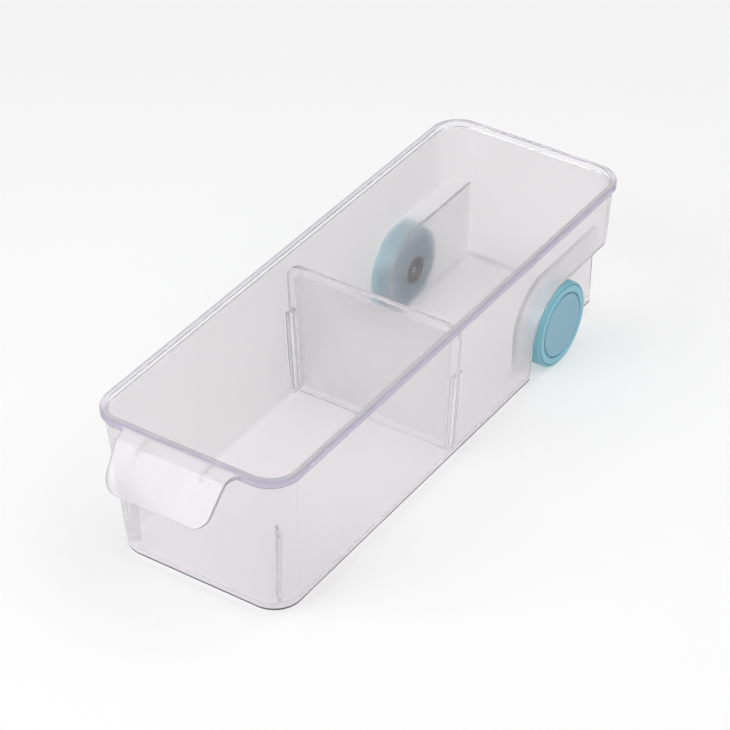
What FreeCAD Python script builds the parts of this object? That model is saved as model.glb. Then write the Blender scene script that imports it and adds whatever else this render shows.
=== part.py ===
"""Fridge bin: a long clear tub with a pull handle, a lift-out divider and two rear wheels.

All lengths are in millimetres. X is across the bin, +Y points to the back of the fridge,
Z is up. The origin is on the shelf, under the middle of the bin's overall length.
"""
import FreeCAD
import Part
import math
import os

Vector = FreeCAD.Vector

# ---- driving dimensions: tub -------------------------------------------------------------
RIM_WIDTH = 115.0            # outside width over the rim
RIM_LENGTH = 330.4           # outside length over the rim
RIM_TOP = 91.0               # top of the rim above the shelf
RIM_BAND = 3.5               # width of the rim seen from above
RIM_DEPTH = 4.5              # height of the rim's outer face
RIM_CORNER = 17.2            # outside corner radius of the rim
WALL = 2.0                   # wall and floor thickness
RIM_OVERHANG = 1.5           # how far the rim stands out from the wall under it
FLOOR_CLEARANCE = 2.0        # gap under the floor, taken up by the feet and the wheels
BASE_WIDTH = 102.4           # outside width where the walls meet the underside
BASE_INSET_FRONT = 9.0       # front wall's foot, measured in from the rim's front
BASE_INSET_REAR = 4.0        # rear wall's foot, measured in from the rim's back
BASE_CORNER = 15.4           # outside corner radius at the underside
BASE_EDGE = 1.6              # rounding of the outside bottom edge
FLOOR_FILLET = 2.5           # rounding where the inside walls meet the floor
RIM_ROUND_OUTSIDE = 1.4      # rounding of the rim's upper outside edge
RIM_ROUND_INSIDE = 0.9       # rounding of the rim's upper inside edge
RIM_ROUND_BELOW = 0.7        # rounding of the rim's lower outside edge

# ---- driving dimensions: handle ----------------------------------------------------------
HANDLE_REACH = 24.6          # how far the handle stands out in front of the rim
HANDLE_DROP = 22.0           # top of the rim down to the handle's lower edge
HANDLE_SLOPE = 0.75          # run of the pull face for each millimetre of drop
HANDLE_SHELF_STEP = 1.0      # shelf below the top of the rim
HANDLE_THICKNESS = 2.2
HANDLE_HALF_TOP = 32.0       # half the width of the pull face at its bend
HANDLE_HALF_BOTTOM = 29.7    # half the width at its lower edge, before rounding
HANDLE_CORNER = 9.8          # rounding of the two lower corners
HANDLE_FLARE = 7.0           # fillet that spreads the shelf into the rim
HANDLE_BEND = 3.2            # outside radius of the bend between shelf and pull face
HANDLE_EDGE_SHARE = 0.45     # rounding of the lower edge, as a share of the thickness
GUSSET_X = 18.5              # middle of each web under the shelf, off the bin's middle
GUSSET_THICKNESS = 1.8
GUSSET_DROP = 11.0           # how far down the wall a web reaches from the shelf
GUSSET_TIP = 1.2             # how far a web runs down the inside of the pull face

# ---- driving dimensions: inside ribs -----------------------------------------------------
SLOT_WIDTH = 3.6             # gap between the two rails that hold the divider
RAIL_THICKNESS = 2.4
RAIL_REACH = 2.7             # how far a rail stands out from the wall
RAIL_TOP = 55.0
RAIL_HEAD_ROUND = 1.2        # rounding of a rail's inner top corner
CORNER_RIB_TOP = 52.0
CORNER_RIB_THICKNESS = 2.0
CORNER_RIB_REACH = 5.5
CORNER_RIB_LEAN = 1.4        # how far the top of the rib leans back into the corner
CORNER_RIB_TAPER = 0.25      # share of half its thickness lost on each side towards the top

# ---- driving dimensions: divider ---------------------------------------------------------
DIVIDER_TOP = 84.5
DIVIDER_SIDE_GAP = 0.4       # gap to the wall on each side
DIVIDER_FLOOR_GAP = 0.2
DIVIDER_FRAME_WIDTH = 5.3
DIVIDER_FRAME_THICKNESS = 3.0
DIVIDER_PANEL_THICKNESS = 1.8
DIVIDER_CORNER = 8.0
DIVIDER_FOOT_CORNER = 4.0
DIVIDER_EDGE = 0.5           # rounding of the frame's outside edges
DIVIDER_LEAST_CORNER = 1.5   # smallest corner radius of the thin panel

# ---- driving dimensions: wheels ----------------------------------------------------------
WHEEL_RADIUS = 24.6
WHEEL_FROM_RIM_BACK = 60.7   # axle, forward of the rim's back edge
WHEEL_FACE_X = 55.0          # outer face of the wheel, inside the width of the rim
WHEEL_WIDTH = 12.0
ARCH_GAP = 2.2               # space between the tyre and the arch over it
RECESS_X = 41.0              # outer face of the wall that carries the wheel
RECESS_CORNER = 2.4          # rounding of the recess's rear corner
RECESS_EDGE = 0.8            # rounding where the recess meets the side wall
AXLE_RADIUS = 4.0            # moulded stub axle
AXLE_RUNNING_GAP = 0.06
AXLE_LENGTH = 10.8           # recess wall to the end of the stub axle
AXLE_CHAMFER = 0.3
AXLE_PAD_RADIUS = 9.0
AXLE_PAD_HEIGHT = 0.8
WASHER_THICKNESS = 0.8
WASHER_RADIUS = 8.2
SMALL_EDGE = 0.2             # edge chamfer of washers and pin heads
PIN_RADIUS = 2.0
PIN_LENGTH = 8.0
PIN_HEAD_RADIUS = 6.2
PIN_HEAD_THICKNESS = 1.2
PIN_LEAD = 0.7               # taper at the pin's inner end
PIN_HOLE_EXTRA = 0.3         # pin hole deeper than the pin is long
HUB_BARREL_RADIUS = 8.6
HUB_RIM_RADIUS = 21.8        # seat of the tyre
HUB_FLANGE_RADIUS = 22.8     # face ring, inside the front lip of the tyre
HUB_FLANGE_THICKNESS = 1.3
HUB_SEAT_THICKNESS = 1.8     # wall of the drum that the tyre sits on
HUB_WEB_THICKNESS = 2.0
HUB_SPOKES = 6
SPOKE_THICKNESS = 1.6
SPOKE_SET_BACK = 1.4         # spokes stop short of the back of the hub
FACE_CROWN = 0.7             # how far the face ring's outer edge falls away
CAP_RADIUS = 18.2
CAP_THICKNESS = 1.3
CAP_SET_BACK = 0.15          # cap's face behind the crest of the face ring
CAP_GROOVE = 0.8             # gap between the cap and the face ring
CAP_EDGE = 0.35
CAP_SKIRT_RADIUS = 17.1      # clip ring behind the cap
CAP_SKIRT_WALL = 1.2
CAP_CLEARANCE = 0.1          # between the skirt and the pocket it clips into
TYRE_BACK_EDGE = 2.0         # rounding of the tread's edge next to the bin
TYRE_FRONT_EDGE = 1.2        # rounding of the tread's outer edge
TYRE_SET_BACK = 0.7          # tyre's front lip behind the crest of the face ring
TYRE_GROOVE = 0.35           # gap between the face ring and the tyre's front lip
TYRE_CROWN = 0.15            # how much larger the tyre is at its middle
TYRE_SIDE_GAP = 0.05

# ---- driving dimensions: front feet ------------------------------------------------------
FOOT_RADIUS = 4.0
FOOT_FROM_CORNER = 9.5       # middle of a foot, in from the round of the tub's corner
FOOT_EDGE = 0.5

# ---- places worked out from the dimensions -----------------------------------------------
TUB_Y = HANDLE_REACH / 2.0                    # middle of the rim, behind the origin
RIM_FRONT = TUB_Y - RIM_LENGTH / 2.0
RIM_BACK = TUB_Y + RIM_LENGTH / 2.0
UNDERSIDE = FLOOR_CLEARANCE
FLOOR_TOP = UNDERSIDE + WALL
RIM_BOTTOM = RIM_TOP - RIM_DEPTH
AXLE_Y = RIM_BACK - WHEEL_FROM_RIM_BACK
AXLE_Z = WHEEL_RADIUS
ARCH_RADIUS = WHEEL_RADIUS + ARCH_GAP
LEDGE_Z = AXLE_Z + ARCH_RADIUS
OVERSHOOT = 20.0                              # how far cutters run past what they cut
SINK = 0.6                                    # how far an added rib is sunk into its wall


def rounded_wire(corners, radii):
    """Closed flat wire through corner points, each corner rounded by its own radius."""
    edges = []
    count = len(corners)
    arcs = []
    for index in range(count):
        here = corners[index]
        to_last = (corners[index - 1] - here).normalize()
        to_next = (corners[(index + 1) % count] - here).normalize()
        radius = radii[index]
        if radius <= 0.0:
            arcs.append((here, None, here))
            continue
        half_angle = to_last.getAngle(to_next) / 2.0
        reach = radius / math.tan(half_angle)
        inward = (to_last + to_next).normalize()
        centre = here + inward * (radius / math.sin(half_angle))
        arcs.append((here + to_last * reach, centre - inward * radius, here + to_next * reach))
    for index in range(count):
        start, middle, end = arcs[index]
        if middle is not None:
            edges.append(Part.Arc(start, middle, end).toShape())
        following = arcs[(index + 1) % count][0]
        if end.distanceToPoint(following) > 1e-6:
            edges.append(Part.makeLine(end, following))
    return Part.Wire(edges)


def prism(corners, radii, direction):
    """Solid swept along a direction from a flat outline with rounded corners."""
    return Part.Face(rounded_wire(corners, radii)).extrude(direction)


def ring_about_axle(profile, side):
    """Solid of revolution about the axle. Profile points are (x, radius), x outward."""
    points = [Vector(side * x, AXLE_Y, AXLE_Z + radius) for x, radius in profile]
    wire = Part.makePolygon(points + [points[0]])
    return Part.Face(wire).revolve(Vector(0, AXLE_Y, AXLE_Z), Vector(1, 0, 0), 360)


def round_edges(solid, radius, wanted):
    """Round those edges of a solid for which wanted(edge) holds."""
    edges = [edge for edge in solid.Edges if wanted(edge)]
    return solid.makeFillet(radius, edges)


def lies_at_height(z):
    """Edge test: the whole edge is at one height."""
    def test(edge):
        box = edge.BoundBox
        return abs(box.ZMin - z) < 1e-4 and abs(box.ZMax - z) < 1e-4
    return test


# ---- tub ---------------------------------------------------------------------------------
def rise(z):
    """How far up the drafted wall a height is: 0 at the underside, 1 at the rim's top."""
    return (z - UNDERSIDE) / (RIM_TOP - UNDERSIDE)


def between(low, high, z):
    """Value at a height of something that grows evenly from underside to rim."""
    return low + (high - low) * rise(z)


def wall_half_width(z):
    """Half the tub's outside width at a height."""
    return between(BASE_WIDTH / 2.0, RIM_WIDTH / 2.0 - RIM_OVERHANG, z)


def front_wall_y(z):
    """Outside of the front wall at a height."""
    return between(RIM_FRONT + BASE_INSET_FRONT, RIM_FRONT + RIM_OVERHANG, z)


def rear_wall_y(z):
    """Outside of the rear wall at a height."""
    return between(RIM_BACK - BASE_INSET_REAR, RIM_BACK - RIM_OVERHANG, z)


def tub_outline(z, inset):
    """Rounded rectangle of the drafted walls at a height, moved inward by inset."""
    half = wall_half_width(z) - inset
    front = front_wall_y(z) + inset
    rear = rear_wall_y(z) - inset
    radius = between(BASE_CORNER, RIM_CORNER - RIM_OVERHANG, z) - inset
    corners = [
        Vector(-half, front, z),
        Vector(half, front, z),
        Vector(half, rear, z),
        Vector(-half, rear, z),
    ]
    return rounded_wire(corners, [radius] * 4)


def tub_block(low, high, inset):
    """Solid between two heights of the drafted tub, moved inward by inset."""
    return Part.makeLoft([tub_outline(low, inset), tub_outline(high, inset)], True, True)


def recess_cutter(side, grow):
    """Space taken out of one side for a wheel: an arch in front, open behind and below."""
    start_x = RECESS_X - grow
    front = AXLE_Y - ARCH_RADIUS - grow
    top = LEDGE_Z + grow
    back = RIM_BACK + OVERSHOOT
    bottom = -OVERSHOOT
    corners = [
        Vector(side * start_x, front, bottom),
        Vector(side * start_x, front, top),
        Vector(side * start_x, back, top),
        Vector(side * start_x, back, bottom),
    ]
    sweep = Vector(side * (RIM_WIDTH - start_x), 0, 0)
    return prism(corners, [0, ARCH_RADIUS + grow, 0, 0], sweep)


def corner_sliver(side, z):
    """Outline at a height of what rounding the recess's rear corner takes away."""
    rear = rear_wall_y(z)
    centre = Vector(side * (RECESS_X - RECESS_CORNER), rear - RECESS_CORNER, z)
    on_rear = centre + Vector(0, RECESS_CORNER, 0)
    on_recess = centre + Vector(side * RECESS_CORNER, 0, 0)
    middle = centre + Vector(side, 1, 0).normalize() * RECESS_CORNER
    beyond = Vector(side * (RECESS_X + RECESS_EDGE), rear + RECESS_EDGE, z)
    edges = [Part.Arc(on_rear, middle, on_recess).toShape()]
    corners = [
        on_recess,
        Vector(beyond.x, on_recess.y, z),
        beyond,
        Vector(on_rear.x, beyond.y, z),
        on_rear,
    ]
    edges += [Part.makeLine(corners[index], corners[index + 1]) for index in range(4)]
    return Part.Wire(edges)


def is_recess_mouth(edge):
    """Edge test: edge of the arch on the outside of a side wall."""
    middle = edge.valueAt((edge.FirstParameter + edge.LastParameter) / 2.0)
    on_wall = abs(abs(middle.x) - wall_half_width(middle.z)) < 1e-3
    return on_wall and UNDERSIDE + 1e-3 < middle.z < LEDGE_Z + 1e-3


def tub_outside():
    """Outer form of the tub, with the two wheel recesses taken out."""
    solid = tub_block(UNDERSIDE, RIM_TOP - 1.0, 0.0)
    for side in (-1, 1):
        solid = solid.cut(recess_cutter(side, 0.0))
    solid = round_edges(solid, RECESS_EDGE, is_recess_mouth)
    for side in (-1, 1):
        outlines = [corner_sliver(side, z) for z in (UNDERSIDE, LEDGE_Z)]
        solid = solid.cut(Part.makeLoft(outlines, True, True))
    return round_edges(solid, BASE_EDGE, lies_at_height(UNDERSIDE))


def tub_inside():
    """Hollow of the tub. It keeps one wall thickness away from the wheel recesses."""
    solid = tub_block(FLOOR_TOP, RIM_TOP + OVERSHOOT, WALL)
    for side in (-1, 1):
        solid = solid.cut(recess_cutter(side, WALL))
    return round_edges(solid, FLOOR_FILLET, lies_at_height(FLOOR_TOP))


def rim_rectangle(inset, z):
    """Rounded rectangle of the rim at a height, moved inward by inset."""
    half = RIM_WIDTH / 2.0 - inset
    corners = [
        Vector(-half, RIM_FRONT + inset, z),
        Vector(half, RIM_FRONT + inset, z),
        Vector(half, RIM_BACK - inset, z),
        Vector(-half, RIM_BACK - inset, z),
    ]
    return rounded_wire(corners, [RIM_CORNER - inset] * 4)


def rim():
    """Thickened band round the top edge, rounded above and slightly eased below."""
    outer = Part.Face(rim_rectangle(0.0, RIM_BOTTOM)).extrude(Vector(0, 0, RIM_DEPTH))
    outer = round_edges(outer, RIM_ROUND_OUTSIDE, lies_at_height(RIM_TOP))
    outer = round_edges(outer, RIM_ROUND_BELOW, lies_at_height(RIM_BOTTOM))
    hole = Part.Face(rim_rectangle(RIM_BAND, RIM_BOTTOM - 1.0))
    hole = hole.extrude(Vector(0, 0, RIM_DEPTH + 2.0))
    band = outer.cut(hole)
    inner_edge = RIM_WIDTH / 2.0 - RIM_BAND

    def is_inner_top(edge):
        return lies_at_height(RIM_TOP)(edge) and edge.BoundBox.XMax < inner_edge + 1e-3
    return round_edges(band, RIM_ROUND_INSIDE, is_inner_top)


# ---- handle ------------------------------------------------------------------------------
SHELF_TOP = RIM_TOP - HANDLE_SHELF_STEP
HANDLE_TIP_Y = RIM_FRONT - HANDLE_REACH
HANDLE_TIP_Z = RIM_TOP - HANDLE_DROP
BEND_Y = HANDLE_TIP_Y + (SHELF_TOP - HANDLE_TIP_Z) * HANDLE_SLOPE
FACE_DOWN = Vector(0, -HANDLE_SLOPE, -1.0).normalize()
FACE_OUT = Vector(0, -1.0, HANDLE_SLOPE).normalize()


def handle_strip():
    """Bent strip the handle is cut from: a flat shelf, then a pull face sloping outward."""
    half = RIM_WIDTH / 2.0 - RIM_CORNER
    start_y = RIM_FRONT + RIM_BAND / 2.0
    bend = Vector(-half, BEND_Y, SHELF_TOP)
    tip = Vector(-half, HANDLE_TIP_Y, HANDLE_TIP_Z)
    tip_under = tip - FACE_OUT * HANDLE_THICKNESS
    shelf_under = SHELF_TOP - HANDLE_THICKNESS
    climb = (shelf_under - tip_under.z) / -FACE_DOWN.z
    bend_under = tip_under - FACE_DOWN * climb
    corners = [
        Vector(-half, start_y, SHELF_TOP),
        bend,
        tip,
        tip_under,
        bend_under,
        Vector(-half, start_y, shelf_under),
    ]
    inner_bend = HANDLE_BEND - HANDLE_THICKNESS
    edge = HANDLE_THICKNESS * HANDLE_EDGE_SHARE
    return prism(corners, [0, HANDLE_BEND, edge, edge, inner_bend, 0], Vector(2.0 * half, 0, 0))


def face_blank():
    """Block with the outline of the pull face, set square to that face."""
    bend = Vector(0, BEND_Y, SHELF_TOP)
    tip = Vector(0, HANDLE_TIP_Y, HANDLE_TIP_Z)
    across = Vector(1, 0, 0)
    corners = [
        bend - across * HANDLE_HALF_TOP,
        bend + across * HANDLE_HALF_TOP,
        tip + across * HANDLE_HALF_BOTTOM,
        tip - across * HANDLE_HALF_BOTTOM,
    ]
    lift = FACE_OUT * HANDLE_BEND
    corners = [corner + lift for corner in corners]
    depth = FACE_OUT * -(HANDLE_BEND + 2.0 * HANDLE_THICKNESS)
    return prism(corners, [0, 0, HANDLE_CORNER, HANDLE_CORNER], depth)


def shelf_blank():
    """Block with the outline of the shelf, spreading into the rim at both ends."""
    spread = HANDLE_HALF_TOP + HANDLE_FLARE
    root = RIM_FRONT + 1.0
    low = SHELF_TOP - 2.0 * HANDLE_THICKNESS
    corners = [
        Vector(-HANDLE_HALF_TOP, BEND_Y - 1.0, low),
        Vector(HANDLE_HALF_TOP, BEND_Y - 1.0, low),
        Vector(HANDLE_HALF_TOP, root, low),
        Vector(spread, root, low),
        Vector(spread, root + RIM_BAND, low),
        Vector(-spread, root + RIM_BAND, low),
        Vector(-spread, root, low),
        Vector(-HANDLE_HALF_TOP, root, low),
    ]
    flare = HANDLE_FLARE * 0.95
    return prism(corners, [0, 0, flare, 0, 0, 0, 0, flare], Vector(0, 0, 4.0 * HANDLE_THICKNESS))


def handle():
    """Pull handle: the bent strip trimmed to the outlines of its shelf and its face."""
    return handle_strip().common(face_blank().fuse(shelf_blank()))


def gusset(side):
    """Small web under the shelf that ties the pull face to the front wall."""
    low = SHELF_TOP - GUSSET_DROP
    top = SHELF_TOP - HANDLE_THICKNESS / 2.0
    tip = top - HANDLE_THICKNESS - GUSSET_TIP
    x = side * GUSSET_X - GUSSET_THICKNESS / 2.0
    corners = [
        Vector(x, front_wall_y(top) + SINK, top),
        Vector(x, BEND_Y, top),
        Vector(x, BEND_Y - GUSSET_TIP, tip),
        Vector(x, front_wall_y(low) + SINK, low),
    ]
    return prism(corners, [0, 0, 0, 0], Vector(GUSSET_THICKNESS, 0, 0))


# ---- ribs, feet and stub axles -----------------------------------------------------------
def rail(side, which):
    """Upright rib on a side wall. Two of them make a slot for the divider's edge."""
    low = FLOOR_TOP - SINK
    foot_x = wall_half_width(low) - WALL
    top_x = wall_half_width(RAIL_TOP) - WALL
    near = SLOT_WIDTH / 2.0
    start = TUB_Y + (near if which > 0 else -near - RAIL_THICKNESS)
    corners = [
        Vector(side * (foot_x + SINK), start, low),
        Vector(side * (foot_x - RAIL_REACH), start, low),
        Vector(side * (top_x - RAIL_REACH), start, RAIL_TOP),
        Vector(side * (top_x + SINK), start, RAIL_TOP),
    ]
    return prism(corners, [0, 0, RAIL_HEAD_ROUND, 0], Vector(0, RAIL_THICKNESS, 0))


def corner_centre(side):
    """Centre of the round of a front corner, at the underside."""
    x = side * (BASE_WIDTH / 2.0 - BASE_CORNER)
    return Vector(x, front_wall_y(UNDERSIDE) + BASE_CORNER, 0)


def corner_rib(side):
    """Diagonal rib in a front corner. A bin stacked on top rests on the end of it."""
    from_centre = BASE_CORNER - WALL - CORNER_RIB_REACH
    outward = Vector(side, -1, 0).normalize()
    across = Vector(side, 1, 0).normalize() * (CORNER_RIB_THICKNESS / 2.0)
    start = corner_centre(side) + outward * from_centre + Vector(0, 0, FLOOR_TOP - SINK)
    lean = outward * CORNER_RIB_LEAN
    height = Vector(0, 0, CORNER_RIB_TOP - FLOOR_TOP + SINK)
    reach = outward * (CORNER_RIB_REACH + OVERSHOOT / 2.0)
    foot = [start - across, start - across + reach, start + across + reach, start + across]
    thin = across * CORNER_RIB_TAPER
    head_shift = [lean + thin, thin, thin * -1.0, lean - thin]
    head = [foot[index] + height + head_shift[index] for index in range(4)]
    return Part.makeLoft(
        [Part.makePolygon(foot + [foot[0]]), Part.makePolygon(head + [head[0]])], True, True
    )


def front_foot(side):
    """Low round foot under a front corner, level with the bottom of the wheels."""
    outward = Vector(side, -1, 0).normalize()
    centre = corner_centre(side) + outward * (BASE_CORNER - FOOT_FROM_CORNER)
    solid = Part.makeCylinder(FOOT_RADIUS, UNDERSIDE + SINK, centre)
    return round_edges(solid, FOOT_EDGE, lies_at_height(0.0))


def stub_axle(side):
    """Hollow post and pad moulded on the recess wall, on which a wheel turns."""
    root = RECESS_X - SINK
    pad = RECESS_X + AXLE_PAD_HEIGHT
    end = RECESS_X + AXLE_LENGTH
    hole_end = end - PIN_LENGTH - PIN_HOLE_EXTRA
    profile = [
        (root, 0.0),
        (root, AXLE_PAD_RADIUS),
        (pad, AXLE_PAD_RADIUS),
        (pad, AXLE_RADIUS),
        (end - AXLE_CHAMFER, AXLE_RADIUS),
        (end, AXLE_RADIUS - AXLE_CHAMFER),
        (end, PIN_RADIUS),
        (hole_end, PIN_RADIUS),
        (hole_end, 0.0),
    ]
    return ring_about_axle(profile, side)


def bin_body():
    """One clear moulding: tub, rim, handle, rails, ribs, feet and both stub axles."""
    outside = tub_outside()
    shell = outside.cut(tub_inside())
    ribs = [rail(side, which) for side in (-1, 1) for which in (-1, 1)]
    ribs += [corner_rib(side).common(outside) for side in (-1, 1)]
    extras = [rim(), handle()]
    extras += [front_foot(side) for side in (-1, 1)]
    extras += [gusset(side) for side in (-1, 1)]
    extras += [stub_axle(side) for side in (-1, 1)]
    return shell.fuse(ribs + extras).removeSplitter()


# ---- divider -----------------------------------------------------------------------------
def divider_outline(inset, y):
    """Outline of the divider, following both drafted walls, moved inward by inset."""
    top = DIVIDER_TOP - inset
    foot = FLOOR_TOP + DIVIDER_FLOOR_GAP + inset
    gap = WALL + DIVIDER_SIDE_GAP + inset
    top_half = wall_half_width(top) - gap
    foot_half = wall_half_width(foot) - gap
    corners = [
        Vector(-foot_half, y, foot),
        Vector(foot_half, y, foot),
        Vector(top_half, y, top),
        Vector(-top_half, y, top),
    ]
    upper = max(DIVIDER_CORNER - inset, DIVIDER_LEAST_CORNER)
    lower = max(DIVIDER_FOOT_CORNER - inset, DIVIDER_LEAST_CORNER)
    return corners, [lower, lower, upper, upper]


def divider():
    """Lift-out partition: a thin panel inside a thicker rounded frame."""
    front = TUB_Y - DIVIDER_FRAME_THICKNESS / 2.0
    corners, radii = divider_outline(0.0, front)
    plate = prism(corners, radii, Vector(0, DIVIDER_FRAME_THICKNESS, 0))
    plate = round_edges(plate, DIVIDER_EDGE, lambda edge: edge.BoundBox.YLength < 1e-6)
    half_panel = DIVIDER_PANEL_THICKNESS / 2.0
    for start in (TUB_Y - half_panel - OVERSHOOT, TUB_Y + half_panel):
        corners, radii = divider_outline(DIVIDER_FRAME_WIDTH, start)
        plate = plate.cut(prism(corners, radii, Vector(0, OVERSHOOT, 0)))
    return plate


# ---- wheel parts -------------------------------------------------------------------------
WHEEL_BACK_X = WHEEL_FACE_X - WHEEL_WIDTH
AXLE_END_X = RECESS_X + AXLE_LENGTH
WASHER_X = RECESS_X + AXLE_PAD_HEIGHT
FLANGE_BACK_X = WHEEL_FACE_X - HUB_FLANGE_THICKNESS
CAP_FACE_X = WHEEL_FACE_X - CAP_SET_BACK
CAP_BACK_X = CAP_FACE_X - CAP_THICKNESS
WEB_FACE_X = AXLE_END_X - 0.4                      # pin's head clears the web by this much
SEAT_BACK_X = WHEEL_BACK_X + 0.4


def wheel_hub(side):
    """Rigid wheel: barrel, web with spokes behind it, tyre seat and a domed face ring."""
    web_back = WEB_FACE_X - HUB_WEB_THICKNESS
    seat_inner = HUB_RIM_RADIUS - HUB_SEAT_THICKNESS
    bore = AXLE_RADIUS + AXLE_RUNNING_GAP
    pocket = CAP_SKIRT_RADIUS + CAP_CLEARANCE
    profile = [
        (WHEEL_BACK_X, bore),
        (WHEEL_BACK_X, HUB_BARREL_RADIUS),
        (web_back, HUB_BARREL_RADIUS),
        (web_back, seat_inner),
        (SEAT_BACK_X, seat_inner),
        (SEAT_BACK_X, HUB_RIM_RADIUS),
        (FLANGE_BACK_X, HUB_RIM_RADIUS),
        (FLANGE_BACK_X, HUB_FLANGE_RADIUS),
    ]
    profile += face_ring_profile(CAP_RADIUS + CAP_GROOVE, HUB_FLANGE_RADIUS)
    profile += [
        (CAP_BACK_X, CAP_RADIUS + CAP_GROOVE),
        (CAP_BACK_X, pocket),
        (WEB_FACE_X, pocket),
        (WEB_FACE_X, bore),
    ]
    hub = ring_about_axle(profile, side)
    spokes = [spoke(side, 360.0 * index / HUB_SPOKES, web_back) for index in range(HUB_SPOKES)]
    return hub.fuse(spokes).removeSplitter()


def face_ring_profile(inner, outer):
    """Crowned face of the hub, from its outer edge in to the groove round the cap."""
    middle = (inner + outer) / 2.0
    half = (outer - inner) / 2.0
    steps = 8
    points = []
    for index in range(steps + 1):
        turn = math.pi * index / steps
        radius = middle + half * math.cos(turn)
        points.append((WHEEL_FACE_X - FACE_CROWN * (1.0 - math.sin(turn)), radius))
    return points


def spoke(side, angle, web_back):
    """Stiffening rib on the back of the web, from the barrel out to the tyre seat."""
    start = HUB_BARREL_RADIUS - SINK
    length = HUB_RIM_RADIUS - HUB_SEAT_THICKNESS / 2.0 - start
    low_x = WHEEL_BACK_X + SPOKE_SET_BACK
    depth = web_back + SINK - low_x
    corner_x = low_x if side > 0 else -low_x - depth
    corner = Vector(corner_x, AXLE_Y - SPOKE_THICKNESS / 2.0, AXLE_Z + start)
    rib = Part.makeBox(depth, SPOKE_THICKNESS, length, corner)
    rib.rotate(Vector(0, AXLE_Y, AXLE_Z), Vector(1, 0, 0), angle)
    return rib


def tread_edge(edge_x, inward, radius):
    """Quarter round at one edge of the tread, from the side face up to the shoulder."""
    shoulder = WHEEL_RADIUS - TYRE_CROWN
    steps = 4
    points = []
    for index in range(steps + 1):
        turn = math.pi / 2.0 * index / steps
        x = edge_x + inward * radius * (1.0 - math.cos(turn))
        points.append((x, shoulder - radius * (1.0 - math.sin(turn))))
    return points


def tyre(side):
    """Soft band round the hub, with a crowned tread and a lip that reaches round the flange."""
    back = SEAT_BACK_X + TYRE_SIDE_GAP
    front = WHEEL_FACE_X - TYRE_SET_BACK
    step = FLANGE_BACK_X - TYRE_SIDE_GAP
    lip = HUB_FLANGE_RADIUS + TYRE_GROOVE
    profile = [(back, HUB_RIM_RADIUS)]
    profile += tread_edge(back, 1.0, TYRE_BACK_EDGE)
    profile.append(((back + front) / 2.0, WHEEL_RADIUS))
    profile += reversed(tread_edge(front, -1.0, TYRE_FRONT_EDGE))
    profile += [(front, lip), (step, lip), (step, HUB_RIM_RADIUS)]
    return ring_about_axle(profile, side)


def hub_cap(side):
    """Flat disc that closes the hub's face, with a skirt that clips into the pocket."""
    skirt_inner = CAP_SKIRT_RADIUS - CAP_SKIRT_WALL
    skirt_end = WEB_FACE_X + CAP_CLEARANCE
    seat = CAP_BACK_X + CAP_CLEARANCE
    profile = [
        (CAP_FACE_X, 0.0),
        (CAP_FACE_X, CAP_RADIUS - CAP_EDGE),
        (CAP_FACE_X - CAP_EDGE, CAP_RADIUS),
        (seat, CAP_RADIUS),
        (seat, CAP_SKIRT_RADIUS),
        (skirt_end, CAP_SKIRT_RADIUS),
        (skirt_end, skirt_inner),
        (CAP_BACK_X, skirt_inner),
        (CAP_BACK_X, 0.0),
    ]
    return ring_about_axle(profile, side)


def thrust_washer(side):
    """Thin ring between the pad on the recess wall and the back of the hub."""
    bore = AXLE_RADIUS + AXLE_RUNNING_GAP
    end = WASHER_X + WASHER_THICKNESS
    profile = [
        (WASHER_X, bore),
        (WASHER_X, WASHER_RADIUS),
        (end - SMALL_EDGE, WASHER_RADIUS),
        (end, WASHER_RADIUS - SMALL_EDGE),
        (end, bore),
    ]
    return ring_about_axle(profile, side)


def axle_pin(side):
    """Headed pin pressed into the stub axle. Its head keeps the wheel on."""
    head_face = AXLE_END_X + PIN_HEAD_THICKNESS
    inner_end = AXLE_END_X - PIN_LENGTH
    profile = [
        (inner_end, 0.0),
        (inner_end, PIN_RADIUS - PIN_LEAD / 2.0),
        (inner_end + PIN_LEAD, PIN_RADIUS),
        (AXLE_END_X, PIN_RADIUS),
        (AXLE_END_X, PIN_HEAD_RADIUS),
        (head_face - SMALL_EDGE, PIN_HEAD_RADIUS),
        (head_face, PIN_HEAD_RADIUS - SMALL_EDGE),
        (head_face, 0.0),
    ]
    return ring_about_axle(profile, side)


def all_parts():
    """Every piece by its node name."""
    parts = {"bin_body": bin_body(), "divider": divider()}
    for side, name in ((-1, "left"), (1, "right")):
        parts["wheel_hub_" + name] = wheel_hub(side)
        parts["tyre_" + name] = tyre(side)
        parts["hub_cap_" + name] = hub_cap(side)
        parts["thrust_washer_" + name] = thrust_washer(side)
        parts["axle_pin_" + name] = axle_pin(side)
    return parts


os.makedirs("parts", exist_ok=True)
for node, shape in all_parts().items():
    if not shape.isValid() or len(shape.Solids) != 1:
        raise ValueError(node + " is not one sound solid")
    shape.exportStep("parts/" + node + ".step")
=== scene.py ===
"""Fridge bin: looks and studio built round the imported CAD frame.

Everything is in metres, in the row frame: X across the bin, +Y to the back, Z up.
"""
import math

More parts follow.
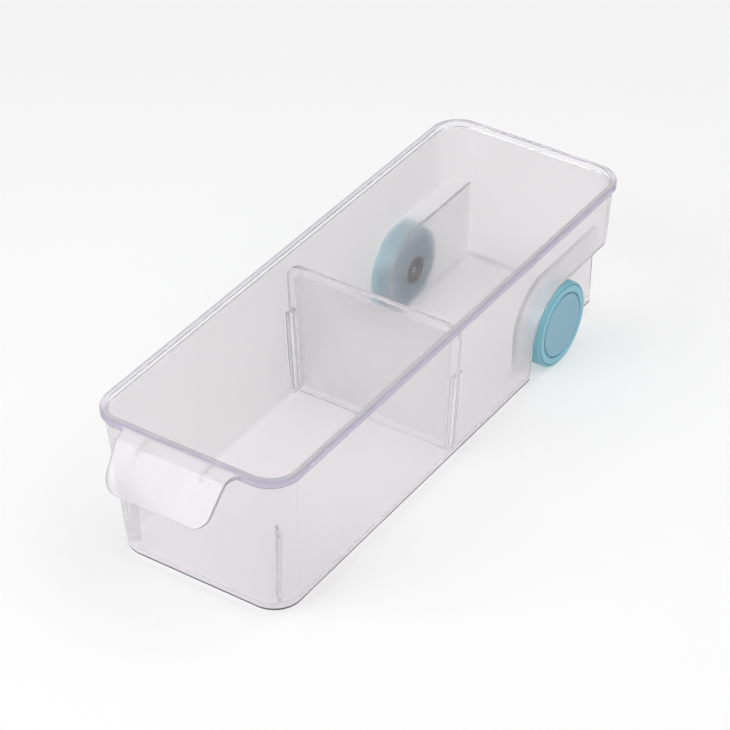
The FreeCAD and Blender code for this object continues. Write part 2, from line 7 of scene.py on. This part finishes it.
import bpy
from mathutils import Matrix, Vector


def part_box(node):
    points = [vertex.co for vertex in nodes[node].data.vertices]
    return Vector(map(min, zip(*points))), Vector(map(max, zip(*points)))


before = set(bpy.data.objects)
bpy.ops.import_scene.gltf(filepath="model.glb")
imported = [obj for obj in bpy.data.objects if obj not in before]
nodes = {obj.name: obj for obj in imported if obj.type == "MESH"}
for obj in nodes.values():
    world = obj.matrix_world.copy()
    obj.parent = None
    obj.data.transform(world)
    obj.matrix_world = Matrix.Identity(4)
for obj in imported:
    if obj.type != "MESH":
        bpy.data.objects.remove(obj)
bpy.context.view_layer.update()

# ---- camera, at the photograph's angle ----------------------------------------------------
CAMERA_AZIMUTH = 33.58       # degrees; 0 looks along +Y
CAMERA_ELEVATION = 36.29
CAMERA_DISTANCE = 1.512
CAMERA_TARGET = Vector((0.0063, -0.0038, 0.0519))
CAMERA_LENS = 144.4          # millimetres
CAMERA_SENSOR = 36.0         # width in millimetres

# ---- colours, as linear light -------------------------------------------------------------
CLEAR_FROSTED = (0.985, 0.975, 0.98)
CLEAR_POLISHED = (0.97, 0.965, 0.985)
# painted shade: glass colour where a face is seen edge on, a dark outline that is partly the
# longer path through the plastic
GRAZING_PAINTED_SHADE = (0.50, 0.47, 0.54)
# painted shade: darkens what is seen through the tub's underside, standing in for the shade
# under the bin
UNDERSIDE_PAINTED_SHADE = (0.86, 0.84, 0.85)
LAVENDER = (0.80, 0.77, 0.90)
LAVENDER_HAZE = (0.69, 0.65, 0.80)
HAZE = (0.94, 0.915, 0.93)
# painted shade: near-black colour for the dark lines on the rounded lower edges and the handle's
# edges
PAINTED_EDGE_SHADE = (0.09, 0.085, 0.10)
LAMP_TINT = (0.95, 0.94, 0.95)
WHEEL_TURQUOISE = (0.24, 0.56, 0.68)
CAP_TURQUOISE = (0.28, 0.50, 0.62)
TYRE_TURQUOISE = (0.23, 0.53, 0.61)
ACETAL = (0.88, 0.88, 0.86)

# ---- table, lamps and surroundings --------------------------------------------------------
FLOOR_WHITE = (0.62, 0.62, 0.62)
FLOOR_GLOW = 0.36            # the table is lit from below, so shadows on it stay light
FLOOR_ROUGHNESS = 0.85
FLOOR_GLOSS = 0.2
FLOOR_HALF_WIDTH = 60.0      # metres, far enough that low views don't reach its edge
LAMP_TARGET = Vector((0.0, 0.0, 0.03))
HORIZON_LIGHT = 0.20         # strength of the surroundings at the horizon
OVERHEAD_LIGHT = 0.70        # and overhead
OVERHEAD_FROM = 0.8          # upward part of the direction where they are at full strength

# ---- how the plastics take light ----------------------------------------------------------
PLASTIC_IOR = 1.49
LAMP_SHARE = 0.66            # how much of the lamps' light passes straight through the plastic

# ---- haze of the clear plastic, as the share that scatters light --------------------------
INSIDE_HAZE = 0.16
FLOOR_FILLET_HAZE = 0.40
OUTSIDE_HAZE = 0.10
FLOOR_EDGE_HAZE = 0.70
HANDLE_HAZE = 0.28
SHELF_HAZE = 0.22
RIM_HAZE = 0.45
RIM_TOP_HAZE = 0.42
RIM_TOP_TINT = 0.30
RIB_HAZE = 0.22
PANEL_HAZE = 0.20
FRAME_HAZE = 0.42
PAINTED_LINE_SHARE = 0.90             # painted dark shade on the rounded lower edges, standing in for light lost inside the plastic
HANDLE_PAINTED_LINE_SHARE = 0.62           # the same painted dark shade at the handle's edges, lighter there
LEAST_HAZE = 0.03
THROUGH_SHARE = 0.35         # of the light the haze scatters, what leaves on the far side

# ---- grain and gloss ----------------------------------------------------------------------
SATIN_GRAIN = 2200.0         # waves to the metre
SATIN_GRAIN_DEPTH = 0.00004
SATIN_GRAIN_STRENGTH = 0.4
GLOSS_WAVES = 30.0           # slow change of gloss over the clear faces, in waves to the metre
SATIN_ROUGHNESS = (0.30, 0.36)
POLISHED_ROUGHNESS = (0.03, 0.06)
GRAZING = (0.55, 1.0)        # how nearly edge on a clear face is seen as its painted dark outline comes in
COLOUR_WAVES = 60.0          # slow change of colour over the moulded parts
COLOUR_DARKEST = 0.90
COLOUR_LIGHTEST = 1.06
ROUGHNESS_CHANGE = 0.06      # how far the grain takes the roughness up or down
MOULDED_GRAIN_STRENGTH = 0.5
COAT_ROUGHNESS = 0.25

# ---- places on the clear parts, in metres -------------------------------------------------
MASK_EDGE = 0.0005           # distance over which one region gives way to the next
STRIP_EDGE = 0.0003          # the same at the sides of a strip
INSIDE_CENTRE_Z = 0.070      # a height inside the tub that every inner face looks towards
RIM_DEPTH = 0.0045
HANDLE_ROOT_Y = -0.1535      # everything in front of this belongs to the handle
PULL_FACE = Vector((0.0, -0.8, 0.6))   # the way the handle's pull face looks
GUSSETS_HALF_WIDTH = 0.021   # both webs under the handle's shelf lie within this
WALL_FOOT_X = 0.0511         # outside of a side wall, carried down to the shelf
WALL_LEAN = 0.054            # and how far it leans out for each metre of height
FLOOR_TOP = 0.004
FEET_HEIGHT = 0.002
FOOT_EDGE_TOP = 0.0038       # top of the round along the underside
FOOT_EDGE_FADE = 0.0002      # distance over which the painted dark line on it fades
WALL_DEPTH = 0.0010          # how far in from a side wall's face the painted dark line still counts as on it
RAIL_TOP = 0.0555
RAILS_HALF_WIDTH = 0.0046    # both rails and the slot between them, from the divider's middle
CORNER_X = 0.0358            # centre of a front corner's round
CORNER_Y = -0.1285
CORNER_RIB_TOP = 0.052
CORNER_RIB_HALF_WIDTH = 0.0016    # measured on both axes together, as the next two are
CORNER_RIB_MIDDLE = 0.0143
CORNER_RIB_HALF_LENGTH = 0.0040
DIVIDER_PANEL = 0.0018       # thickness of the thin panel
PANEL_MARGIN = 0.0002        # how far beyond the panel's faces its mask reaches
DIVIDER_FRAME = 0.0053       # width of the frame round it

# ---- heights above the tub's floor where a mask is 0 and where it is 1, in metres ---------
RAIL_FOOT = (0.0025, 0.0032)
FILLET_HEIGHT = (0.0035, 0.0026)
FLOOR_EDGE_HEIGHT = (0.0040, 0.0020)

# ---- upward part of a face's normal where a mask is 0 and where it is 1 -------------------
RIM_SIDE_SLOPE = (0.97, 0.80)
UNDERSIDE_SLOPE = (-0.85, -0.98)
FILLET_SLOPE = (0.99, 0.93)
DOWNWARD_SLOPE = (-0.095, -0.18)
SHELF_SLOPE = (0.80, 0.95)

# ---- how squarely a face looks along a direction, where a mask is 0 and where it is 1 -----
HANDLE_EDGE_FACING = (0.50, 0.25)
DIVIDER_EDGE_FACING = (0.80, 0.50)


def with_alpha(colour):
    """An opaque colour, as a node socket takes it."""
    return (colour[0], colour[1], colour[2], 1.0)


class Tree:
    """Short calls for building one material's node tree."""

    def __init__(self, name):
        self.material = bpy.data.materials.new(name)
        self.material.use_nodes = True
        self.tree = self.material.node_tree
        self.tree.nodes.clear()
        self.column = 0
        coordinates = self.add("ShaderNodeTexCoord")
        self.place = coordinates.outputs["Object"]
        self.normal = coordinates.outputs["Normal"]

    def add(self, kind, values=(), **settings):
        """A new node with its settings and its named input values or links."""
        node = self.tree.nodes.new(kind)
        node.location = (self.column, 0)
        self.column += 200
        for key, value in settings.items():
            setattr(node, key, value)
        for key, value in dict(values).items():
            self.feed(node.inputs[key], value)
        return node

    def feed(self, socket, value):
        """Link or set one input."""
        if isinstance(value, bpy.types.NodeSocket):
            self.tree.links.new(value, socket)
        elif isinstance(value, tuple) and len(value) == 3 and socket.type == "RGBA":
            socket.default_value = with_alpha(value)
        else:
            socket.default_value = value

    def math(self, kind, first, second=0.0, third=None):
        """One Math node."""
        node = self.add("ShaderNodeMath", operation=kind)
        self.feed(node.inputs[0], first)
        self.feed(node.inputs[1], second)
        if third is not None:
            self.feed(node.inputs[2], third)
        return node.outputs[0]

    def ramp(self, value, low, high):
        """0 where value is at low, 1 where it is at high, and smooth in between."""
        node = self.add("ShaderNodeMapRange", interpolation_type="SMOOTHSTEP")
        self.feed(node.inputs["Value"], value)
        node.inputs["From Min"].default_value = low
        node.inputs["From Max"].default_value = high
        return node.outputs["Result"]

    def blend(self, factor, first, second):
        """Number between first and second."""
        node = self.add("ShaderNodeMix", data_type="FLOAT")
        self.feed(node.inputs[0], factor)
        self.feed(node.inputs[2], first)
        self.feed(node.inputs[3], second)
        return node.outputs[0]

    def blend_colour(self, factor, first, second):
        """Colour between first and second."""
        node = self.add("ShaderNodeMix", data_type="RGBA")
        self.feed(node.inputs[0], factor)
        self.feed(node.inputs[6], first)
        self.feed(node.inputs[7], second)
        return node.outputs[2]

    def noise(self, scale, detail=2.0, roughness=0.5):
        """Noise value from 0 to 1, with about scale waves to the metre."""
        node = self.add("ShaderNodeTexNoise")
        self.feed(node.inputs["Vector"], self.place)
        node.inputs["Scale"].default_value = scale
        node.inputs["Detail"].default_value = detail
        node.inputs["Roughness"].default_value = roughness
        return node.outputs["Fac"]

    def bump(self, height, distance, strength):
        """Normal from a height from 0 to 1 that stands for distance metres."""
        node = self.add("ShaderNodeBump")
        self.feed(node.inputs["Height"], height)
        self.feed(node.inputs["Strength"], strength)
        node.inputs["Distance"].default_value = distance
        return node.outputs["Normal"]

    def shader(self, values):
        """A Principled shader with these inputs."""
        return self.add("ShaderNodeBsdfPrincipled", values).outputs[0]

    def mix(self, factor, first, second):
        """Mix of two shaders."""
        node = self.add("ShaderNodeMixShader")
        self.feed(node.inputs[0], factor)
        self.feed(node.inputs[1], first)
        self.feed(node.inputs[2], second)
        return node.outputs[0]

    def finish(self, shader):
        """Join the last shader to the output and hand back the material."""
        self.add("ShaderNodeOutputMaterial", {"Surface": shader})
        return self.material


def clear_plastic(name, regions):
    """Clear moulded plastic; regions gives its satin, haze, tint, painted dark edge lines and
    the underside that takes painted shade.
    """
    tree = Tree(name)
    frost, haze_share, tint, painted_shade_line, underside = regions(tree)
    grain = tree.noise(SATIN_GRAIN, detail=3.0, roughness=0.6)
    waves = tree.noise(GLOSS_WAVES)
    satin_roughness = tree.blend(waves, *SATIN_ROUGHNESS)
    polish_roughness = tree.blend(waves, *POLISHED_ROUGHNESS)
    grain_strength = tree.blend(frost, 0.0, SATIN_GRAIN_STRENGTH)
    surface = tree.bump(grain, SATIN_GRAIN_DEPTH, grain_strength)
    # painted shade: the glass darkens where it is seen edge on, standing in for dark refraction
    # at the edges, partly the longer path through the plastic
    grazing = tree.add("ShaderNodeLayerWeight", {"Blend": 0.5}).outputs["Facing"]
    edge = tree.ramp(grazing, *GRAZING)
    clear = tree.blend_colour(frost, CLEAR_POLISHED, CLEAR_FROSTED)
    clear = tree.blend_colour(tint, clear, LAVENDER)
    # painted shade under the bin, laid on the downward faces
    clear = tree.blend_colour(underside, clear, UNDERSIDE_PAINTED_SHADE)
    glass = tree.shader({
        "Base Color": tree.blend_colour(edge, clear, GRAZING_PAINTED_SHADE),
        "Roughness": tree.blend(frost, polish_roughness, satin_roughness),
        "IOR": PLASTIC_IOR,
        "Transmission Weight": 1.0,
        "Normal": surface,
    })
    haze_and_shade_colour = tree.blend_colour(tint, HAZE, LAVENDER_HAZE)
    # painted shade: where the dark lines lie, the haze turns near-black and takes most of the
    # surface
    haze_and_shade_colour = tree.blend_colour(painted_shade_line, haze_and_shade_colour, PAINTED_EDGE_SHADE)
    haze_and_shade_front = tree.add("ShaderNodeBsdfDiffuse", {"Color": haze_and_shade_colour}).outputs[0]
    haze_and_shade_back = tree.add("ShaderNodeBsdfTranslucent", {"Color": haze_and_shade_colour}).outputs[0]
    share = tree.blend(painted_shade_line, haze_share, PAINTED_LINE_SHARE)
    body = tree.mix(share, glass, tree.mix(THROUGH_SHARE, haze_and_shade_front, haze_and_shade_back))
    let_light_by = tree.add("ShaderNodeBsdfTransparent", {"Color": LAMP_TINT}).outputs[0]
    lamp_ray = tree.add("ShaderNodeLightPath").outputs["Is Shadow Ray"]
    return tree.finish(tree.mix(tree.math("MULTIPLY", lamp_ray, LAMP_SHARE), body, let_light_by))


def near(tree, value, middle, half_width, edge=STRIP_EDGE):
    """1 where value is within half_width of middle, 0 elsewhere."""
    away = tree.math("ABSOLUTE", tree.math("SUBTRACT", value, middle))
    return tree.ramp(away, half_width + edge, half_width)


def add_up(tree, *weighted):
    """Sum of (share, mask) pairs, as a number from 0 to 1."""
    total = 0.0
    for share, mask in weighted:
        total = tree.math("MULTIPLY_ADD", mask, share, total)
    return total


def both(tree, *masks):
    """1 where every mask is 1."""
    result = masks[0]
    for mask in masks[1:]:
        result = tree.math("MULTIPLY", result, mask)
    return result


def without(tree, mask):
    """1 where a mask is 0."""
    return tree.math("SUBTRACT", 1.0, mask)


def away_from(tree, centre):
    """How far each face looks away from a point inside: negative on the inner faces."""
    from_centre = tree.add("ShaderNodeVectorMath", operation="SUBTRACT")
    tree.feed(from_centre.inputs[0], tree.place)
    from_centre.inputs[1].default_value = centre
    facing = tree.add("ShaderNodeVectorMath", operation="DOT_PRODUCT")
    tree.feed(facing.inputs[0], from_centre.outputs[0])
    tree.feed(facing.inputs[1], tree.normal)
    return facing.outputs["Value"]


def facing_along(tree, way):
    """How squarely each face looks along a direction, either way: 0 is edge on."""
    facing = tree.add("ShaderNodeVectorMath", operation="DOT_PRODUCT")
    tree.feed(facing.inputs[0], tree.normal)
    facing.inputs[1].default_value = way
    return tree.math("ABSOLUTE", facing.outputs["Value"])


def corner_ribs(tree, across, along, height):
    """1 on the diagonal ribs in both front corners."""
    sideways = tree.math("SUBTRACT", tree.math("ABSOLUTE", across), CORNER_X)
    forward = tree.math("SUBTRACT", CORNER_Y, along)
    thick = near(tree, tree.math("SUBTRACT", sideways, forward), 0.0, CORNER_RIB_HALF_WIDTH)
    reach = tree.math("ADD", sideways, forward)
    length = near(tree, reach, CORNER_RIB_MIDDLE, CORNER_RIB_HALF_LENGTH)
    above_floor = tree.ramp(height, FLOOR_TOP, FLOOR_TOP + MASK_EDGE)
    below_top = tree.ramp(height, CORNER_RIB_TOP + MASK_EDGE, CORNER_RIB_TOP)
    return both(tree, thick, length, above_floor, below_top)


def lower_edge_painted_shade(tree, across, height, upward, under_rim):
    """1 on the rounded edges under the side walls, the rim and the whole tub, where the painted
    dark shade goes.
    """
    above_feet = tree.ramp(height, FEET_HEIGHT - FOOT_EDGE_FADE, FEET_HEIGHT)
    foot_edge = tree.ramp(height, FOOT_EDGE_TOP + FOOT_EDGE_FADE, FOOT_EDGE_TOP)
    wall_at_zero = tree.math("MULTIPLY_ADD", height, -WALL_LEAN, tree.math("ABSOLUTE", across))
    inside_wall = WALL_FOOT_X - WALL_DEPTH
    at_wall = tree.ramp(wall_at_zero, inside_wall, inside_wall + FOOT_EDGE_FADE)
    at_rim = tree.ramp(height, under_rim, under_rim + 2 * MASK_EDGE)
    looks_down = tree.ramp(upward, *DOWNWARD_SLOPE)
    sides = both(tree, looks_down, tree.math("MAXIMUM", at_wall, at_rim))
    return tree.math("MAXIMUM", sides, both(tree, above_feet, foot_edge))


def handle_edge_painted_shade(tree, across, handle):
    """1 on the rounded edges of the pull handle, apart from the webs under its shelf, where the
    painted dark shade goes.
    """
    edge_on = tree.ramp(facing_along(tree, PULL_FACE), *HANDLE_EDGE_FACING)
    webs = near(tree, across, 0.0, GUSSETS_HALF_WIDTH)
    return both(tree, handle, edge_on, without(tree, webs))


def body_regions(tree):
    """Satin inside of the tub, hazy handle, tinted outside of the rim, painted dark shade on the
    lower edges and the handle's edges, and painted shade on the underside.
    """
    bin_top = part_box("bin_body")[1].z
    divider_low, divider_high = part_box("divider")
    divider_y = (divider_low.y + divider_high.y) / 2
    axes = tree.add("ShaderNodeSeparateXYZ", {"Vector": tree.place})
    normals = tree.add("ShaderNodeSeparateXYZ", {"Vector": tree.normal})
    across, along, height = axes.outputs
    upward = normals.outputs["Z"]
    over_floor = tree.math("SUBTRACT", height, FLOOR_TOP)

    # which side of the moulding, and which part of it
    outward = away_from(tree, Vector((0.0, divider_y, INSIDE_CENTRE_Z)))
    inside = tree.ramp(outward, MASK_EDGE, -MASK_EDGE)
    outside = without(tree, inside)
    rim_foot = bin_top - RIM_DEPTH
    rim_zone = tree.ramp(height, rim_foot - MASK_EDGE, rim_foot + MASK_EDGE)
    below_rim = without(tree, rim_zone)
    handle = tree.ramp(along, HANDLE_ROOT_Y, HANDLE_ROOT_Y - 2 * MASK_EDGE)
    plain_outside = both(tree, outside, without(tree, handle))

    # rails and ribs, then the satin faces round them
    slot = near(tree, along, divider_y, RAILS_HALF_WIDTH)
    below_rail_top = tree.ramp(height, RAIL_TOP, RAIL_TOP - MASK_EDGE)
    rails = both(tree, slot, below_rail_top, tree.ramp(over_floor, *RAIL_FOOT), inside)
    ribs = tree.math("MAXIMUM", rails, corner_ribs(tree, across, along, height))
    satin_zone = tree.math("MAXIMUM", below_rim, handle)
    frost = both(tree, inside, satin_zone, without(tree, ribs))

    # the rim's outer face and its top
    rim_side = tree.ramp(upward, *RIM_SIDE_SLOPE)
    rim_outside = both(tree, rim_zone, plain_outside, rim_side)
    rim_top = both(tree, rim_zone, plain_outside, without(tree, rim_outside))

    # the underside, which takes painted shade, the fillet round the floor, and the foot of the
    # walls
    underside = both(tree, outside, tree.ramp(upward, *UNDERSIDE_SLOPE))
    fillet_band = tree.ramp(over_floor, *FILLET_HEIGHT)
    floor_fillet = both(tree, inside, fillet_band, tree.ramp(upward, *FILLET_SLOPE))
    walls = both(tree, plain_outside, below_rim)
    floor_edge = both(tree, walls, tree.ramp(over_floor, *FLOOR_EDGE_HEIGHT))

    # painted dark shade on the rounded lower edges and on the handle's edges
    painted_shade_below = lower_edge_painted_shade(tree, across, height, upward, bin_top - 2 * RIM_DEPTH)
    painted_lower_edges = both(tree, plain_outside, without(tree, underside), painted_shade_below)
    painted_handle_edges = tree.math("MULTIPLY", handle_edge_painted_shade(tree, across, handle), HANDLE_PAINTED_LINE_SHARE)
    painted_shade_line = tree.math("MAXIMUM", painted_lower_edges, painted_handle_edges)

    shelf = both(tree, handle, tree.ramp(upward, *SHELF_SLOPE))
    haze = add_up(
        tree,
        (INSIDE_HAZE, frost),
        (FLOOR_FILLET_HAZE, floor_fillet),
        (RIB_HAZE, ribs),
        (OUTSIDE_HAZE, walls),
        (FLOOR_EDGE_HAZE, floor_edge),
        (HANDLE_HAZE, both(tree, handle, outside)),
        (SHELF_HAZE, shelf),
        (RIM_HAZE, rim_outside),
        (RIM_TOP_HAZE, rim_top),
    )
    tint = add_up(tree, (1.0, rim_outside), (RIM_TOP_TINT, rim_top))
    return frost, tree.math("ADD", haze, LEAST_HAZE), tint, painted_shade_line, underside


def divider_regions(tree):
    """Satin panel inside a polished frame that catches the light on its edges."""
    low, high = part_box("divider")
    middle = (low + high) / 2
    half = (high - low) / 2
    axes = tree.add("ShaderNodeSeparateXYZ", {"Vector": tree.place})
    panel_half = DIVIDER_PANEL / 2 + PANEL_MARGIN
    depth = near(tree, axes.outputs["Y"], middle.y, panel_half, PANEL_MARGIN / 2)
    level = near(tree, axes.outputs["Z"], middle.z, half.z - DIVIDER_FRAME)
    panel = both(tree, depth, level)
    facing = facing_along(tree, Vector((0.0, 1.0, 0.0)))
    round_edge = tree.ramp(facing, *DIVIDER_EDGE_FACING)
    haze = add_up(tree, (PANEL_HAZE, panel), (FRAME_HAZE, round_edge))
    return panel, tree.math("ADD", haze, LEAST_HAZE), 0.0, 0.0, 0.0


def moulded(name, colour, roughness, grain_scale, grain_depth, coat=0.0):
    """Coloured plastic or rubber with a fine grain and slightly uneven colour."""
    tree = Tree(name)
    patches = tree.noise(COLOUR_WAVES, detail=3.0)
    grain = tree.noise(grain_scale, detail=4.0, roughness=0.6)
    darker = tuple(channel * COLOUR_DARKEST for channel in colour)
    lighter = tuple(min(channel * COLOUR_LIGHTEST, 1.0) for channel in colour)
    smoothest = roughness - ROUGHNESS_CHANGE
    roughest = roughness + ROUGHNESS_CHANGE
    return tree.finish(tree.shader({
        "Base Color": tree.blend_colour(patches, darker, lighter),
        "Roughness": tree.blend(grain, smoothest, roughest),
        "IOR": PLASTIC_IOR,
        "Coat Weight": coat,
        "Coat Roughness": COAT_ROUGHNESS,
        "Normal": tree.bump(grain, grain_depth, MOULDED_GRAIN_STRENGTH),
    }))


def paint(node, material):
    """Give a CAD node one material in all its slots."""
    mesh = nodes[node].data
    if not mesh.materials:
        mesh.materials.append(material)
    for index in range(len(mesh.materials)):
        mesh.materials[index] = material


paint("bin_body", clear_plastic("clear body", body_regions))
paint("divider", clear_plastic("clear divider", divider_regions))
wheel_plastic = moulded(
    "wheel plastic", WHEEL_TURQUOISE,
    roughness=0.38, grain_scale=1800.0, grain_depth=0.00002, coat=0.15)
cap_plastic = moulded(
    "cap plastic", CAP_TURQUOISE,
    roughness=0.52, grain_scale=2600.0, grain_depth=0.00004)
tyre_rubber = moulded(
    "soft tyre", TYRE_TURQUOISE,
    roughness=0.58, grain_scale=1500.0, grain_depth=0.00003)
acetal = moulded(
    "bearing plastic", ACETAL,
    roughness=0.42, grain_scale=1200.0, grain_depth=0.00002)
for side in ("left", "right"):
    paint("wheel_hub_" + side, wheel_plastic)
    paint("hub_cap_" + side, cap_plastic)
    paint("tyre_" + side, tyre_rubber)
    paint("thrust_washer_" + side, acetal)
    paint("axle_pin_" + side, acetal)


# ---- studio -------------------------------------------------------------------------------
def direction(azimuth, elevation):
    """Unit vector from the target back to a viewer or a light."""
    a = math.radians(azimuth)
    e = math.radians(elevation)
    return Vector((math.sin(a) * math.cos(e), -math.cos(a) * math.cos(e), math.sin(e)))


def aim(thing, place, target):
    """Put a camera or light at place, looking at target."""
    thing.location = place
    thing.rotation_euler = (target - place).to_track_quat("-Z", "Y").to_euler()


def make_camera():
    """Camera at the photograph's viewing angle."""
    camera = bpy.data.objects.new("camera", bpy.data.cameras.new("camera"))
    bpy.context.scene.collection.objects.link(camera)
    camera.data.lens = CAMERA_LENS
    camera.data.sensor_width = CAMERA_SENSOR
    camera.data.clip_end = 2 * FLOOR_HALF_WIDTH
    back = direction(CAMERA_AZIMUTH, CAMERA_ELEVATION)
    aim(camera, CAMERA_TARGET + back * CAMERA_DISTANCE, CAMERA_TARGET)
    bpy.context.scene.camera = camera


def make_floor():
    """Plain pale floor under the bin."""
    half = FLOOR_HALF_WIDTH
    mesh = bpy.data.meshes.new("floor")
    corners = [(-half, -half, 0), (half, -half, 0), (half, half, 0), (-half, half, 0)]
    mesh.from_pydata(corners, [], [(0, 1, 2, 3)])
    floor = bpy.data.objects.new("floor", mesh)
    bpy.context.scene.collection.objects.link(floor)
    tree = Tree("floor")
    mesh.materials.append(tree.finish(tree.shader({
        "Base Color": FLOOR_WHITE,
        "Roughness": FLOOR_ROUGHNESS,
        "Specular IOR Level": FLOOR_GLOSS,
        "Emission Color": (1.0, 1.0, 1.0),
        "Emission Strength": FLOOR_GLOW,
    })))


def softbox(name, azimuth, elevation, distance, width, height, power):
    """One rectangular soft light aimed at the bin."""
    light = bpy.data.lights.new(name, "AREA")
    light.shape = "RECTANGLE"
    light.size = width
    light.size_y = height
    light.energy = power
    lamp = bpy.data.objects.new(name, light)
    bpy.context.scene.collection.objects.link(lamp)
    aim(lamp, LAMP_TARGET + direction(azimuth, elevation) * distance, LAMP_TARGET)


def make_world():
    """Even pale surroundings, darker towards the horizon so that clear edges show."""
    world = bpy.data.worlds.new("studio")
    bpy.context.scene.world = world
    world.use_nodes = True
    tree = world.node_tree
    tree.nodes.clear()
    coordinates = tree.nodes.new("ShaderNodeTexCoord")
    axes = tree.nodes.new("ShaderNodeSeparateXYZ")
    ramp = tree.nodes.new("ShaderNodeMapRange")
    background = tree.nodes.new("ShaderNodeBackground")
    output = tree.nodes.new("ShaderNodeOutputWorld")
    ramp.interpolation_type = "SMOOTHSTEP"
    ramp.inputs["From Min"].default_value = 0.0
    ramp.inputs["From Max"].default_value = OVERHEAD_FROM
    ramp.inputs["To Min"].default_value = HORIZON_LIGHT
    ramp.inputs["To Max"].default_value = OVERHEAD_LIGHT
    tree.links.new(coordinates.outputs["Generated"], axes.inputs[0])
    tree.links.new(axes.outputs["Z"], ramp.inputs["Value"])
    tree.links.new(ramp.outputs["Result"], background.inputs["Strength"])
    tree.links.new(background.outputs[0], output.inputs["Surface"])


make_camera()
make_floor()
make_world()
softbox("key", azimuth=130.0, elevation=65.0, distance=1.6, width=1.4, height=1.4, power=6.5)
softbox("fill", azimuth=75.0, elevation=45.0, distance=1.8, width=1.2, height=0.9, power=5.0)
softbox("front", azimuth=-30.0, elevation=38.0, distance=1.5, width=0.9, height=0.8, power=8.2)
bpy.context.scene.view_settings.view_transform = "Standard"
